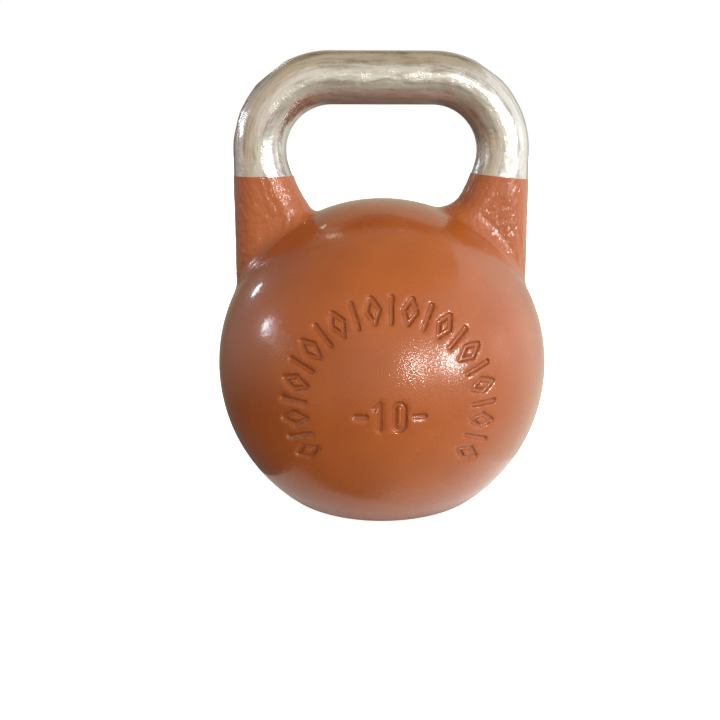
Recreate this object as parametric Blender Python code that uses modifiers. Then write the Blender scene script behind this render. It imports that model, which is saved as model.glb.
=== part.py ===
"""A 10 kg competition kettlebell.

A hollow cast ball carries two short horns. A bent steel bar is welded on to the horns as the
handle. Ballast bonded to the floor of the ball trims the weight, and a sealed plug closes the
filler hole in the flat foot.

Metres, +Z up. The origin is the centre of the flat foot, on the floor. X runs along the grip
and the side that bears the weight mark faces -Y.
"""

import math

import bmesh
import bpy
from mathutils import Vector

NAME = "kettlebell"

# Driving dimensions, those of a standard competition bell
HEIGHT = 0.280
BALL_RADIUS = 0.105
GRIP_RADIUS = 0.0165
HANDLE_WIDTH = 0.186
FOOT_RADIUS = 0.0638
FOOT_EDGE = 0.0015  # broken off round the foot
BEND_RADIUS = 0.045  # of the handle's centre line
WALL = 0.0050
FLOOR = 0.0095
GAP = 0.0003  # left between pieces that touch
OVERRUN = 0.005  # how far a cutter runs out past the surface
SAME_POINT = 1e-5

# Heights and places that follow from them
BALL_Z = math.sqrt(BALL_RADIUS**2 - FOOT_RADIUS**2)
GRIP_Z = HEIGHT - GRIP_RADIUS
LEG_X = HANDLE_WIDTH / 2 - GRIP_RADIUS
BEND_Z = GRIP_Z - BEND_RADIUS
CAVITY_RADIUS = BALL_RADIUS - WALL

# Below the bends the legs widen towards the window, by FLARE_RATE times a power of the drop
FLARE_TOP = BALL_Z + 0.134
FLARE_RATE = 2.2
FLARE_POWER = 1.5
FLARE_FOOT = BALL_Z + 0.094  # inside the ball, below which the leg widens no more
HORN_BOTTOM = BALL_Z + 0.040

# The joint between a horn and the bar: a V groove round a spigot, filled by the weld
PAINT_LINE = BALL_Z + 0.1196
WELD_WIDTH = 0.006
WELD_ROOT = 0.62  # share of the leg's section that is left at the root of the groove
WELD_CLEAR = 0.03  # and what the point of the weld stands off it, as a share
SPIGOT_RADIUS = 0.0085
SPIGOT_LENGTH = 0.016

# The filler hole and what closes it
HOLE_RADIUS = 0.0145
REBATE_RADIUS = 0.0200
REBATE_DEPTH = 0.0068
PLUG_RECESS = 0.0012  # keeps the plug clear of the floor
PLUG_FLANGE = 0.0030
PLUG_EDGE = 0.0005
DRIVE_RADIUS = 0.0070
DRIVE_DEPTH = 0.0055
SEAL_WIRE = 0.0010  # radius of the ring's section

# The ballast, a ring of bonded iron shot that leaves a well over the plug
BALLAST_WELL = 0.018
BALLAST_HEIGHT = 0.0152

# Fineness of the round shapes
BALL_TURNS = 64
BALL_ARC = 30
CAVITY_ARC = 15
BALLAST_ARC = 6
SEAL_ARC = 8
LEG_SIDES = 32
SMALL_TURNS = 32
HORN_STEPS = 9
FOOT_STEPS = 5
BEND_STEPS = 14

PAINT = ((0.45, 0.13, 0.03), 0.30, 0.0)
BARE_STEEL = ((0.62, 0.59, 0.54), 0.32, 1.0)
WELD_STEEL = ((0.50, 0.48, 0.45), 0.45, 1.0)
IRON_SHOT = ((0.16, 0.15, 0.14), 0.70, 0.8)
ZINC = ((0.55, 0.56, 0.58), 0.38, 1.0)
RUBBER = ((0.02, 0.02, 0.02), 0.80, 0.0)


def clear_scene():
    for obj in list(bpy.data.objects):
        bpy.data.objects.remove(obj, do_unlink=True)


def new_collection(name):
    collection = bpy.data.collections.new(name)
    bpy.context.scene.collection.children.link(collection)
    return collection


def material(name, looks):
    colour, roughness, metallic = looks
    made = bpy.data.materials.new(name)
    made.use_nodes = True
    shader = made.node_tree.nodes["Principled BSDF"]
    shader.inputs["Base Color"].default_value = (*colour, 1.0)
    shader.inputs["Roughness"].default_value = roughness
    shader.inputs["Metallic"].default_value = metallic
    return made


def add_object(name, mesh, collection):
    obj = bpy.data.objects.new(name, mesh)
    collection.objects.link(obj)
    return obj


def turned(name, profile, closed, turns, collection):
    """A profile of (radius, height) points, turned about Z. It runs down its outer side."""
    mesh = bpy.data.meshes.new(name)
    points = [(radius, 0.0, height) for radius, height in profile]
    edges = [(i, i + 1) for i in range(len(points) - 1)]
    if closed:
        edges.append((len(points) - 1, 0))
    mesh.from_pydata(points, edges, [])
    obj = add_object(name, mesh, collection)
    screw = obj.modifiers.new("Turn", "SCREW")
    screw.axis = "Z"
    screw.steps = turns
    screw.render_steps = turns
    screw.use_merge_vertices = True
    screw.merge_threshold = SAME_POINT
    return obj


def arc(radius, centre_z, start, end, count):
    """Points on a circle about the Z axis' plane, by angle above the horizontal in radians."""
    angles = [start + (end - start) * i / count for i in range(count + 1)]
    return [(radius * math.cos(a), centre_z + radius * math.sin(a)) for a in angles]


def ball_profile():
    """The outside of the ball, from its top down to the flat foot, with a broken edge."""
    foot_angle = -math.asin((BALL_Z - FOOT_EDGE) / BALL_RADIUS)
    outline = arc(BALL_RADIUS, BALL_Z, math.pi / 2, foot_angle, BALL_ARC)
    outline[0] = (0.0, BALL_Z + BALL_RADIUS)
    return outline + [(FOOT_RADIUS - FOOT_EDGE / 2, 0.0), (0.0, 0.0)]


def cavity_floor_angle():
    return -math.asin((BALL_Z - FLOOR) / CAVITY_RADIUS)


def cavity_profile():
    """The hollow inside the ball, with its flat floor, and the stepped filler hole below it."""
    outline = arc(CAVITY_RADIUS, BALL_Z, math.pi / 2, cavity_floor_angle(), CAVITY_ARC)
    outline[0] = (0.0, BALL_Z + CAVITY_RADIUS)
    return outline + [
        (HOLE_RADIUS, FLOOR),
        (HOLE_RADIUS, REBATE_DEPTH),
        (REBATE_RADIUS, REBATE_DEPTH),
        (REBATE_RADIUS, -OVERRUN),
        (0.0, -OVERRUN),
    ]


def ballast_profile():
    """A ring on the floor of the hollow, just inside the flats that its wall is made of."""
    flat = (math.pi / 2 - cavity_floor_angle()) / CAVITY_ARC
    outer = (CAVITY_RADIUS - GAP) * math.cos(flat / 2)
    bottom = FLOOR + GAP
    top = bottom + BALLAST_HEIGHT
    start = -math.asin((BALL_Z - top) / outer)
    end = -math.asin((BALL_Z - bottom) / outer)
    outline = arc(outer, BALL_Z, start, end, BALLAST_ARC)
    return outline + [(BALLAST_WELL, bottom), (BALLAST_WELL, top)]


def plug_profile():
    bottom = PLUG_RECESS
    shoulder = bottom + PLUG_FLANGE
    flange = REBATE_RADIUS - GAP
    shank = HOLE_RADIUS - GAP
    top = FLOOR - GAP
    return [
        (0.0, top),
        (shank - PLUG_EDGE, top),
        (shank, top - PLUG_EDGE),
        (shank, shoulder),
        (flange - PLUG_EDGE, shoulder),
        (flange, shoulder - PLUG_EDGE),
        (flange, bottom + PLUG_EDGE),
        (flange - PLUG_EDGE, bottom),
        (0.0, bottom),
    ]


def flare(height):
    """How far a leg's inner side has moved towards the window at this height."""
    drop = max(FLARE_TOP - max(height, FLARE_FOOT), 0.0)
    return FLARE_RATE * drop**FLARE_POWER


def even_angles():
    return [2 * math.pi * i / LEG_SIDES for i in range(LEG_SIDES)]


def window_share(across):
    """0 on the leg's outer half, 1 on the half towards the window, and midway between them."""
    if abs(across) < SAME_POINT:
        return 0.5
    return 1.0 if across < 0 else 0.0


def leg_section(side, height, angles):
    """The outline of the leg at this height: round outside, drawn out towards the window."""
    outline = []
    for angle in angles:
        across = GRIP_RADIUS * math.cos(angle)
        reach = LEG_X + across - window_share(across) * flare(height)
        outline.append(Vector((side * reach, GRIP_RADIUS * math.sin(angle), height)))
    return outline


def round_section(side, radius, height, angles):
    """A circle on the leg's axis, with its points in the same order as the leg's section."""
    return [
        Vector((side * (LEG_X + radius * math.cos(a)), radius * math.sin(a), height))
        for a in angles
    ]


def groove_section(side, edge_height, height, angles, share=WELD_ROOT):
    """The leg's section at one height, drawn in to the groove's root and moved to another."""
    middle = Vector((side * (LEG_X - flare(edge_height) / 2), 0.0, edge_height))
    points = [middle + (p - middle) * share for p in leg_section(side, edge_height, angles)]
    return [Vector((point.x, point.y, height)) for point in points]


def skin(shape, row, rings):
    """Carries a tube on from a row of vertices through rings of points. Returns the last row."""
    for ring in rings:
        following = [shape.verts.new(point) for point in ring]
        for i in range(len(row)):
            j = (i + 1) % len(row)
            shape.faces.new((row[i], row[j], following[j], following[i]))
        row = following
    return row


def finished_mesh(shape, name):
    bmesh.ops.recalc_face_normals(shape, faces=shape.faces)
    mesh = bpy.data.meshes.new(name)
    shape.to_mesh(mesh)
    shape.free()
    return mesh


def weld_heights():
    """The bottom, the root and the top of the weld's V."""
    return PAINT_LINE + GAP, PAINT_LINE + WELD_WIDTH / 2, PAINT_LINE + WELD_WIDTH


def horn(side, collection):
    """A horn of the casting, from the floor of its socket to its end inside the ball."""
    root = weld_heights()[1]
    angles = even_angles()
    socket = SPIGOT_RADIUS + GAP
    rings = [
        round_section(side, socket, root - GAP, angles),
        groove_section(side, PAINT_LINE, root - GAP, angles),
        leg_section(side, PAINT_LINE, angles),
    ]
    for i in range(1, HORN_STEPS + 1):
        height = PAINT_LINE + (FLARE_FOOT - PAINT_LINE) * i / HORN_STEPS
        rings.append(leg_section(side, height, angles))
    rings.append(leg_section(side, HORN_BOTTOM, angles))
    shape = bmesh.new()
    socket_floor = root - SPIGOT_LENGTH - 2 * GAP
    first = [shape.verts.new(p) for p in round_section(side, socket, socket_floor, angles)]
    shape.faces.new(first)
    shape.faces.new(skin(shape, first, rings))
    return add_object("horn", finished_mesh(shape, "horn"), collection)


def weld_ring(name, side, collection):
    """The ground weld, flush with the leg outside and pointed at the root of the groove."""
    low, root, high = weld_heights()
    angles = even_angles()
    point = groove_section(side, root, root, angles, WELD_ROOT + WELD_CLEAR)
    shape = bmesh.new()
    first = [shape.verts.new(p) for p in point]
    last = skin(shape, first, [leg_section(side, z, angles) for z in (low, high)])
    for i in range(LEG_SIDES):
        j = (i + 1) % LEG_SIDES
        shape.faces.new((last[i], last[j], first[j], first[i]))
    return add_object(name, finished_mesh(shape, name), collection)


def bar_route():
    """The centre line of the bar: two legs, two quarter bends and the grip between them."""
    right = [(LEG_X, FLARE_TOP)]
    for i in range(BEND_STEPS + 1):
        angle = math.pi / 2 * i / BEND_STEPS
        across = LEG_X - BEND_RADIUS + BEND_RADIUS * math.cos(angle)
        right.append((across, BEND_Z + BEND_RADIUS * math.sin(angle)))
    return right + [(-x, z) for x, z in reversed(right)]


def bar_tube(collection):
    """The round part of the bar, open at both ends."""
    route = bar_route()
    curve = bpy.data.curves.new("bar", "CURVE")
    curve.dimensions = "3D"
    curve.bevel_depth = GRIP_RADIUS
    curve.bevel_resolution = (LEG_SIDES - 4) // 2
    spline = curve.splines.new("POLY")
    spline.points.add(len(route) - 1)
    for point, (x, z) in zip(spline.points, route):
        point.co = (x, 0.0, z, 1.0)
    return frozen(add_object("bar", curve, collection), "bar", collection)


def add_foot(shape, side):
    """Carries a leg of the bar down through its flare and its half of the groove to the spigot."""
    _, root, high = weld_heights()
    edge = high + GAP

    def around(vert):
        return math.atan2(vert.co.y, side * vert.co.x - LEG_X) % (2 * math.pi)

    ends = [v for v in shape.verts if v.is_boundary and side * v.co.x > 0]
    ends.sort(key=around)
    angles = [around(v) for v in ends]
    rings = []
    for i in range(1, FOOT_STEPS + 1):
        height = FLARE_TOP + (edge - FLARE_TOP) * i / FOOT_STEPS
        rings.append(leg_section(side, height, angles))
    rings += [
        groove_section(side, edge, root + GAP, angles),
        round_section(side, SPIGOT_RADIUS, root + GAP, angles),
        round_section(side, SPIGOT_RADIUS, root - SPIGOT_LENGTH, angles),
    ]
    shape.faces.new(skin(shape, ends, rings))


def frozen(obj, name, collection):
    """The evaluated shape as a plain mesh object, in place of the object it came from."""
    graph = bpy.context.evaluated_depsgraph_get()
    mesh = bpy.data.meshes.new_from_object(obj.evaluated_get(graph))
    shape = bmesh.new()
    shape.from_mesh(mesh)
    bmesh.ops.remove_doubles(shape, verts=shape.verts, dist=SAME_POINT)
    shape.to_mesh(mesh)
    shape.free()
    made = add_object(name, mesh, collection)
    made.matrix_world = obj.matrix_world.copy()
    bpy.data.objects.remove(obj, do_unlink=True)
    made.name = name
    return made


def boolean(obj, other, operation):
    cut = obj.modifiers.new(operation.title(), "BOOLEAN")
    cut.operation = operation
    cut.object = other
    cut.solver = "EXACT"
    other.hide_render = True
    other.display_type = "WIRE"


def finished(obj, looks, smooth_below=35.0):
    """Gives a piece its material and smooth shading that keeps its real edges."""
    obj.data.materials.clear()
    obj.data.materials.append(looks)
    obj.data.shade_smooth()
    obj.data.set_sharp_from_angle(angle=math.radians(smooth_below))
    return obj


def make_shell(parts, tools, looks):
    """The casting: ball and horns joined, with the hollow and the filler hole cut out."""
    ball = turned("ball", ball_profile(), False, BALL_TURNS, tools)
    for side in (-1, 1):
        boolean(ball, horn(side, tools), "UNION")
    boolean(ball, turned("cavity", cavity_profile(), False, BALL_TURNS // 2, tools), "DIFFERENCE")
    return finished(frozen(ball, "ball_shell", parts), looks)


def make_bar(parts, looks):
    bar = bar_tube(parts)
    shape = bmesh.new()
    shape.from_mesh(bar.data)
    for side in (-1, 1):
        add_foot(shape, side)
    bar.data = finished_mesh(shape, "handle_bar")
    bar.name = "handle_bar"
    return finished(bar, looks)


def make_welds(parts, looks):
    for label, side in (("weld_seam_left", -1), ("weld_seam_right", 1)):
        finished(weld_ring(label, side, parts), looks)


def make_plug(parts, tools, looks):
    """The filler plug, with a hexagon recess for the key that drives it."""
    plug = turned("plug", plug_profile(), False, SMALL_TURNS, tools)
    reach = 2 * DRIVE_DEPTH
    bpy.ops.mesh.primitive_cylinder_add(
        vertices=6,
        radius=DRIVE_RADIUS,
        depth=reach,
        location=(0.0, 0.0, PLUG_RECESS + DRIVE_DEPTH - reach / 2),
    )
    drive = bpy.context.object
    drive.name = "drive"
    for collection in list(drive.users_collection):
        collection.objects.unlink(drive)
    tools.objects.link(drive)
    boolean(plug, drive, "DIFFERENCE")
    return finished(frozen(plug, "filler_plug", parts), looks)


def make_seal(parts, looks):
    """The ring that the plug's flange presses against the rebate."""
    middle = (HOLE_RADIUS + REBATE_RADIUS) / 2
    height = PLUG_RECESS + PLUG_FLANGE + GAP + SEAL_WIRE
    wire = arc(SEAL_WIRE, height, math.pi / 2, -3 * math.pi / 2, SEAL_ARC)[:SEAL_ARC]
    profile = [(middle + radius, z) for radius, z in wire]
    seal = turned("seal", profile, True, SMALL_TURNS, parts)
    return finished(frozen(seal, "plug_seal", parts), looks)


def make_ballast(parts, looks):
    ballast = turned("ballast", ballast_profile(), True, BALL_TURNS // 2, parts)
    return finished(frozen(ballast, "ballast_fill", parts), looks)


def main():
    clear_scene()
    parts = new_collection(NAME)
    tools = new_collection("cutters")
    make_shell(parts, tools, material("paint", PAINT))
    make_bar(parts, material("bare_steel", BARE_STEEL))
    make_welds(parts, material("weld_steel", WELD_STEEL))
    make_plug(parts, tools, material("zinc_plate", ZINC))
    make_seal(parts, material("seal_rubber", RUBBER))
    make_ballast(parts, material("iron_shot", IRON_SHOT))


main()
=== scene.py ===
"""The looks of a 10 kg competition kettlebell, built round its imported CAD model.

The painted casting, the two ground welds and the steel handle get finely shaped meshes in place
of their CAD solids. The plug, its seal and the ballast keep their CAD shapes. Metres, +Z up; the
origin is the centre of the flat foot, X runs along the grip and -Y is the marked side.
"""

import math

import bmesh
import bpy
import numpy as np
from mathutils import Matrix, Vector, noise


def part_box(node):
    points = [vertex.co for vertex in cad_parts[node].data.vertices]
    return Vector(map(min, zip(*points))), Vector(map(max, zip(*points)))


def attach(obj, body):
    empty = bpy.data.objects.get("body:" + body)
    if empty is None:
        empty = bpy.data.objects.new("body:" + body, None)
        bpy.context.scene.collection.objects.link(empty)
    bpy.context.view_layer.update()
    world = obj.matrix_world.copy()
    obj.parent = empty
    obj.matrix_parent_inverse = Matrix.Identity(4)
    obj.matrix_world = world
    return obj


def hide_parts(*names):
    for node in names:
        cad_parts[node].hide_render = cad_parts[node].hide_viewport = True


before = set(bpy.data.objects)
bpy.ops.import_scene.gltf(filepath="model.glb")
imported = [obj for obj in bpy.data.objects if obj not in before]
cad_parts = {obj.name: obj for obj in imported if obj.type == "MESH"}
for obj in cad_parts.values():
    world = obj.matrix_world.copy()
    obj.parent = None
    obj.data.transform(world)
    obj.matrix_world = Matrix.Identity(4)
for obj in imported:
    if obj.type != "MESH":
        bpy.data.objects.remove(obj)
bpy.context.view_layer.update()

# The main sizes, from the frame
SHELL_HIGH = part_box("ball_shell")[1]
BAR_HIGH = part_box("handle_bar")[1]
WELD_LOW, WELD_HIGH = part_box("weld_seam_left")
PLUG_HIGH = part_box("filler_plug")[1]
BALL_RADIUS = SHELL_HIGH.x
GRIP_RADIUS = BAR_HIGH.y
LEG_X = BAR_HIGH.x - GRIP_RADIUS
GRIP_Z = BAR_HIGH.z - GRIP_RADIUS
CAD_GAP = 0.0003  # left between neighbouring solids; this one isn't read from the frame

# The ball and its foot
FOOT_RADIUS = 0.0638
FOOT_ROUNDING = 0.0020
BALL_Z = math.sqrt(BALL_RADIUS**2 - FOOT_RADIUS**2)
CENTRE = np.array((0.0, 0.0, BALL_Z))
WALL = 0.0050
FLOOR = PLUG_HIGH.z + CAD_GAP
HOLE_RADIUS = 0.0145
REBATE_RADIUS = PLUG_HIGH.x + CAD_GAP
REBATE_DEPTH = 0.0068
OVERRUN = 0.004  # how far the hollow's cutter runs out below the foot

# The handle's centre line, and the flare of its feet towards the window
BEND_RADIUS = 0.045
BEND_X = LEG_X - BEND_RADIUS
BEND_Z = GRIP_Z - BEND_RADIUS
FLARE_TOP = BALL_Z + 0.134
FLARE_RATE = 2.2
FLARE_POWER = 1.5
FLARE_FOOT = BALL_Z + 0.094
HORN_BOTTOM = BALL_Z + 0.020

# The fillets where the horns run into the ball, in the window, at the sides and outside
WINDOW_FILLET = {-1: 0.0055, 1: 0.0140}
SIDE_FILLET = 0.0095
OUTER_FILLET = 0.0020

# The line where the paint ends. It slopes on the right horn, and lies level on the left.
PAINT_Z = WELD_LOW.z - CAD_GAP
PAINT_SLOPE = {-1: 0.0, 1: -0.104}
PAINT_RISE = {-1: 0.0, 1: -0.0006}
PAINT_THICKNESS = 0.00015
WELD_TOP = WELD_HIGH.z
SPIGOT_RADIUS = 0.0085
SPIGOT_BOTTOM = WELD_LOW.z - 0.016
SEAM = 0.00003  # between two pieces that touch
BAR_FOOT = WELD_TOP + SEAM
BAR_LENGTH = 2 * (BEND_Z - BAR_FOOT + BEND_RADIUS * math.pi / 2 + BEND_X)

# Fineness of the meshes
SKIN_GRAIN = 0.0020
RELAX_ROUNDS = 4
BALL_DIVISIONS = 6
HORN_RINGS = 24
HORN_POINTS = 48
HORN_OVERRUN = 0.008  # how far a horn is first made past its paint line
HOLLOW_STEPS = 40
HOLLOW_TOP = math.radians(89.0)
CUTTER_TURNS = 64
SOCKET_TURNS = 32
WELD_RINGS = 7
BAR_POINTS = 112
BAR_STEP = 0.0014
ON_SURFACE = 0.00002  # points this near the casting's outside are on it
ON_FOOT = 0.00001
HORN_START = 0.0002  # a horn's skin stands further than this off the ball

# The marks, sunk into the front of the ball
RING_ANGLE = math.radians(30.2)
RING_START = math.radians(211.0)
RING_PITCH = math.radians(11.14)
RING_CELLS = 23
CELL_WIDTH = RING_PITCH * BALL_RADIUS * math.sin(RING_ANGLE)
LOZENGE_HALF = 0.0036
MARK_HEIGHT = 0.0180
MARK_STROKE = 0.0028
MARK_FLAT = 0.0005  # half the width of a stroke's level bottom
MARK_REACH = 0.0019  # from the middle of a stroke to the ball's surface
MARK_DEPTH = 0.0013
PAST_MARKS = 3 * MARK_REACH  # distances to a stroke are kept only up to this
ROUGH_FIELD = (math.radians(42.0), math.radians(52.0))  # the front is left as cast inside this
FIGURE_HEIGHT = 0.0178
FIGURE_DROP = 0.0036  # of the weight mark below the middle of the ring
FAR_OFF = 1.0  # a distance to the marks that stands for none near

# The unevenness of the casting under its paint, and of the hand-ground steel. Each seed picks
# its own stretch of the noise.
SWELL_SIZE = 0.030
SWELL_HEIGHT = 0.00009
WRINKLE_SIZE = 0.0028
WRINKLE_HEIGHT = 0.00020
FINE_WRINKLES = 0.6
RUN_IN = (0.012, 0.030)  # off the ball, where the wrinkles fade to half
RIDGE_SIZE = 0.0024
RIDGE_STRETCH = 5.0
RIDGE_HEIGHT = 0.00027
GRIND_SIZE = 0.007
GRIND_STRETCH = 4.0
GRIND_HEIGHT = 0.00008
FINE_GRINDING = 0.4
WELD_GRINDING = 0.5
WELD_GRIND_SIZE = 0.006
SEEDS = {
    "swell": 3.1,
    "wrinkles": 7.7,
    "fine_wrinkles": 1.9,
    "ridges": 4.2,
    "grinding": 5.3,
    "fine_grinding": 8.9,
    "weld": 4.4,
}
# Flats ground on the bends: side, degrees above level, lean to the back, depth
FLATS = (
    (-1, 14.0, -4.0, 0.0006),
    (-1, 33.0, 6.0, 0.0013),
    (-1, 52.0, -3.0, 0.0012),
    (-1, 71.0, 5.0, 0.0006),
    (1, 30.0, 4.0, 0.0010),
    (1, 55.0, -5.0, 0.0010),
)

# Colours
PAINT_LIGHT = (0.350, 0.081, 0.009, 1.0)
PAINT_DEEP = (0.305, 0.066, 0.006, 1.0)
# painted shade: the darker paint in the sunk marks
PAINT_MARK_SHADE = (0.24, 0.048, 0.010, 1.0)
# painted sheen: a paler tint for the glinting horns
PAINT_HORN_SHEEN = (0.46, 0.140, 0.055, 1.0)
STEEL_LIGHT = (0.68, 0.66, 0.63, 1.0)
STEEL_DARK = (0.42, 0.38, 0.34, 1.0)
# painted shade, browned as the ball's reflection, for the grip's window side
STEEL_UNDERSHADE = (0.27, 0.22, 0.18, 1.0)
ZINC_LIGHT = (0.60, 0.61, 0.63, 1.0)
ZINC_DARK = (0.38, 0.38, 0.39, 1.0)
RUBBER_DARK = (0.012, 0.012, 0.013, 1.0)
RUBBER_BLOOM = (0.05, 0.05, 0.048, 1.0)
SHOT_LIGHT = (0.16, 0.15, 0.14, 1.0)
SHOT_DARK = (0.035, 0.025, 0.018, 1.0)
SHOT_RUST = (0.13, 0.05, 0.02, 1.0)
FLOOR_TONES = ((0.88, 0.88, 0.87, 1.0), (0.90, 0.90, 0.89, 1.0))
MAT_TONES = ((0.43, 0.42, 0.40, 1.0), (0.47, 0.46, 0.44, 1.0))

# The enamel's feature sizes, and the heights that its bumps stand for
TONE_PATCH = 0.035
MOTTLE_SIZE = 0.004
GRAIN_SIZE = 0.0010
GRAIN_BUMP = 0.00013
GRAIN_FILM_BUMP = 0.00015
FILM_SWELL_SIZE = 0.022
FILM_SWELL_BUMP = 0.00030
PEEL_SIZE = 0.0035
PEEL_BUMP = 0.00006
RUN_SIZE = 0.0028
RUN_SQUEEZE = 0.35
RUN_BUMP = 0.00120
EDGE_BUMP = 0.00030

# The same for the steel, and how much longer each feature is along the bar
BLOTCH_SIZE = 0.0040
CLOUD_SIZE = 0.011
STREAK_SIZE = 0.0014
STREAK_SQUEEZE = 0.12
STREAK_BUMP = 0.00004
SCRATCH_SIZE = 0.0004
SCRATCH_SQUEEZE = 0.03
SCRATCH_BUMP = 0.000006
DENT_SIZE = 0.0045
DENT_SQUEEZE = 0.4
DENT_BUMP = 0.00040
FLECK_SIZE = 0.0018
FLECK_BUMP = 0.00017
# Painted shade on the grip's window side: where it starts and is full, as shares of the
# bar's radius, and where along the grip it comes in and goes out
UNDERSHADE_ACROSS = (-0.20, -0.75)
UNDERSHADE_COMES = (-BEND_X - 0.032, -BEND_X + 0.008)
UNDERSHADE_GOES = (BEND_X + 0.030, BEND_X + 0.070)

# The room that the bell reflects: its colour by azimuth in degrees, for the walls and below them
ROOM_LIGHT = 1.5
WALLS = (
    (-180.0, (0.37, 0.32, 0.24)),
    (-158.0, (0.25, 0.21, 0.15)),
    (-146.0, (0.16, 0.12, 0.09)),
    (-115.0, (0.34, 0.31, 0.28)),
    (-80.0, (0.44, 0.38, 0.31)),
    (-40.0, (0.46, 0.37, 0.27)),
    (-12.0, (0.68, 0.64, 0.56)),
    (8.0, (0.58, 0.54, 0.46)),
    (42.0, (0.60, 0.58, 0.54)),
    (95.0, (0.88, 0.88, 0.86)),
    (118.0, (0.82, 0.80, 0.74)),
    (140.0, (0.42, 0.40, 0.35)),
    (180.0, (0.37, 0.32, 0.24)),
)
GROUND = (
    (-180.0, (0.10, 0.08, 0.07)),
    (-110.0, (0.07, 0.05, 0.04)),
    (-60.0, (0.20, 0.15, 0.11)),
    (0.0, (0.33, 0.29, 0.22)),
    (40.0, (0.46, 0.42, 0.35)),
    (100.0, (0.66, 0.62, 0.55)),
    (150.0, (0.58, 0.55, 0.47)),
    (180.0, (0.10, 0.08, 0.07)),
)
CEILING = (0.43, 0.36, 0.26)
LINTEL = (0.15, 0.12, 0.08)  # a dark stretch between the back wall and the ceiling
# Where one turns into the next, as heights on the unit sphere; the lintel is only behind
WALL_TO_GROUND = (-0.02, -0.40)
WALL_TO_CEILING = (0.745, 0.770)
LINTEL_BOTTOM = (0.715, 0.740)
LINTEL_TOP = (0.88, 0.84)
LINTEL_TURN = (math.radians(120.0), math.radians(140.0))

# The floor and the mat
FLOOR_HALF = 6.0
FLOOR_Z = -0.0004
FLOOR_GLOW = 0.9
MAT_Z = -0.0001
MAT_GLOW = (0.20, 0.72)  # at the left and at the right
# The mat's corners: left, right, back, and how far its front lies forwards at either end
MAT = (-0.085, 0.102, 0.100, 0.078, 0.095)
MAT_CORNER = 0.015
MAT_SHADE = 0.009  # width of the ring that the bell shades
MAT_SHADED = 0.3  # its glow at the foot

# The lights: name, azimuth and elevation in degrees, distance, size, radiance and tint
SOFTBOXES = (
    ("key_near", 20.8, 9.8, 3.3, (0.34, 0.32), 76.0, (1.0, 0.98, 0.95)),
    ("key_far", 45.6, 10.7, 3.3, (0.52, 0.44), 72.0, (1.0, 0.98, 0.96)),
    ("key_screen", 37.0, 13.5, 3.5, (1.80, 1.00), 1.4, (1.0, 0.97, 0.94)),
    ("left_lamp", -42.3, -9.8, 3.6, (0.90, 0.90), 0.35, (1.0, 0.88, 0.70)),
    ("left_window", -94.8, 15.3, 3.3, (0.30, 0.45), 26.0, (0.74, 0.86, 1.0)),
    ("left_window_low", -78.4, 11.5, 3.3, (0.15, 0.15), 30.0, (0.74, 0.86, 1.0)),
    ("left_window_far", -124.8, 17.7, 3.6, (0.21, 0.42), 16.0, (0.74, 0.86, 1.0)),
    ("right_window", 86.2, 8.4, 3.9, (0.48, 0.66), 2.4, (1.0, 1.0, 1.0)),
    ("ceiling_lamp", -145.6, 41.7, 3.6, (0.90, 0.20), 4.0, (1.0, 1.0, 1.0)),
    ("fill", 52.0, 46.0, 3.9, (2.40, 2.40), 1.45, (1.0, 0.97, 0.92)),
)
NO_GLOSS = ("fill",)  # lights whose faces the bell doesn't mirror
GLINTS = ("left_lamp", "left_window", "left_window_low", "left_window_far")  # only mirrored

# The camera
CAMERA_DISTANCE = 0.557  # from the middle of the ball
CAMERA_ELEVATION = math.radians(15.7)
CAMERA_TURN = math.radians(-2.4)
CAMERA_AIM = BALL_Z + 0.060
CAMERA_LENS = 42.15
CAMERA_SHIFT = (-0.0304, -0.1276)


# ---------------------------------------------------------------- shapes as distances


def smooth_step(low, high, value):
    share = np.clip((value - low) / (high - low), 0.0, 1.0)
    return share * share * (3.0 - 2.0 * share)


def flare(height):
    """How far a leg's inner side has moved towards the window at this height."""
    drop = np.maximum(FLARE_TOP - np.maximum(height, FLARE_FOOT), 0.0)
    return FLARE_RATE * drop**FLARE_POWER


def ball_distance(points):
    """Distance to the ball, cut flat at the foot, with the foot's edge rounded."""
    ball = np.linalg.norm(points - CENTRE, axis=1) - BALL_RADIUS
    below = -points[:, 2]
    corner = np.hypot(
        np.maximum(FOOT_ROUNDING + ball, 0.0), np.maximum(FOOT_ROUNDING + below, 0.0)
    )
    return np.minimum(-FOOT_ROUNDING, np.maximum(ball, below)) + corner


def leg_distance(points, side):
    """Distance to a horn: a bar of oblong section, which starts inside the ball."""
    across = side * points[:, 0]
    off = across - np.clip(across, LEG_X - flare(points[:, 2]), LEG_X)
    return np.maximum(np.hypot(off, points[:, 1]) - GRIP_RADIUS, HORN_BOTTOM - points[:, 2])


def fillet_radius(points, side):
    """The fillet's radius round a horn, by the way that a point lies from the horn's axis."""
    across = side * points[:, 0] - LEG_X + flare(points[:, 2]) / 2
    turn = across / (np.hypot(across, points[:, 1]) + 1e-9)
    window = np.maximum(-turn, 0.0) ** 2
    outside = np.maximum(turn, 0.0) ** 1.5
    return (
        SIDE_FILLET
        + (WINDOW_FILLET[side] - SIDE_FILLET) * window
        + (OUTER_FILLET - SIDE_FILLET) * outside
    )


def casting_distance(points):
    """Distance to the outside of the casting, horns and fillets included."""
    joined = ball_distance(points)
    for side in (-1, 1):
        leg = leg_distance(points, side)
        radius = fillet_radius(points, side)
        corner = np.hypot(np.maximum(radius - joined, 0.0), np.maximum(radius - leg, 0.0))
        joined = np.maximum(radius, np.minimum(joined, leg)) - corner
    return joined


def slope_of(distance, points, step=1e-5):
    """The gradient of a distance at each point."""
    slopes = np.empty_like(points)
    for axis in range(3):
        shift = np.zeros(3)
        shift[axis] = step
        slopes[:, axis] = (distance(points + shift) - distance(points - shift)) / (2 * step)
    return slopes


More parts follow.
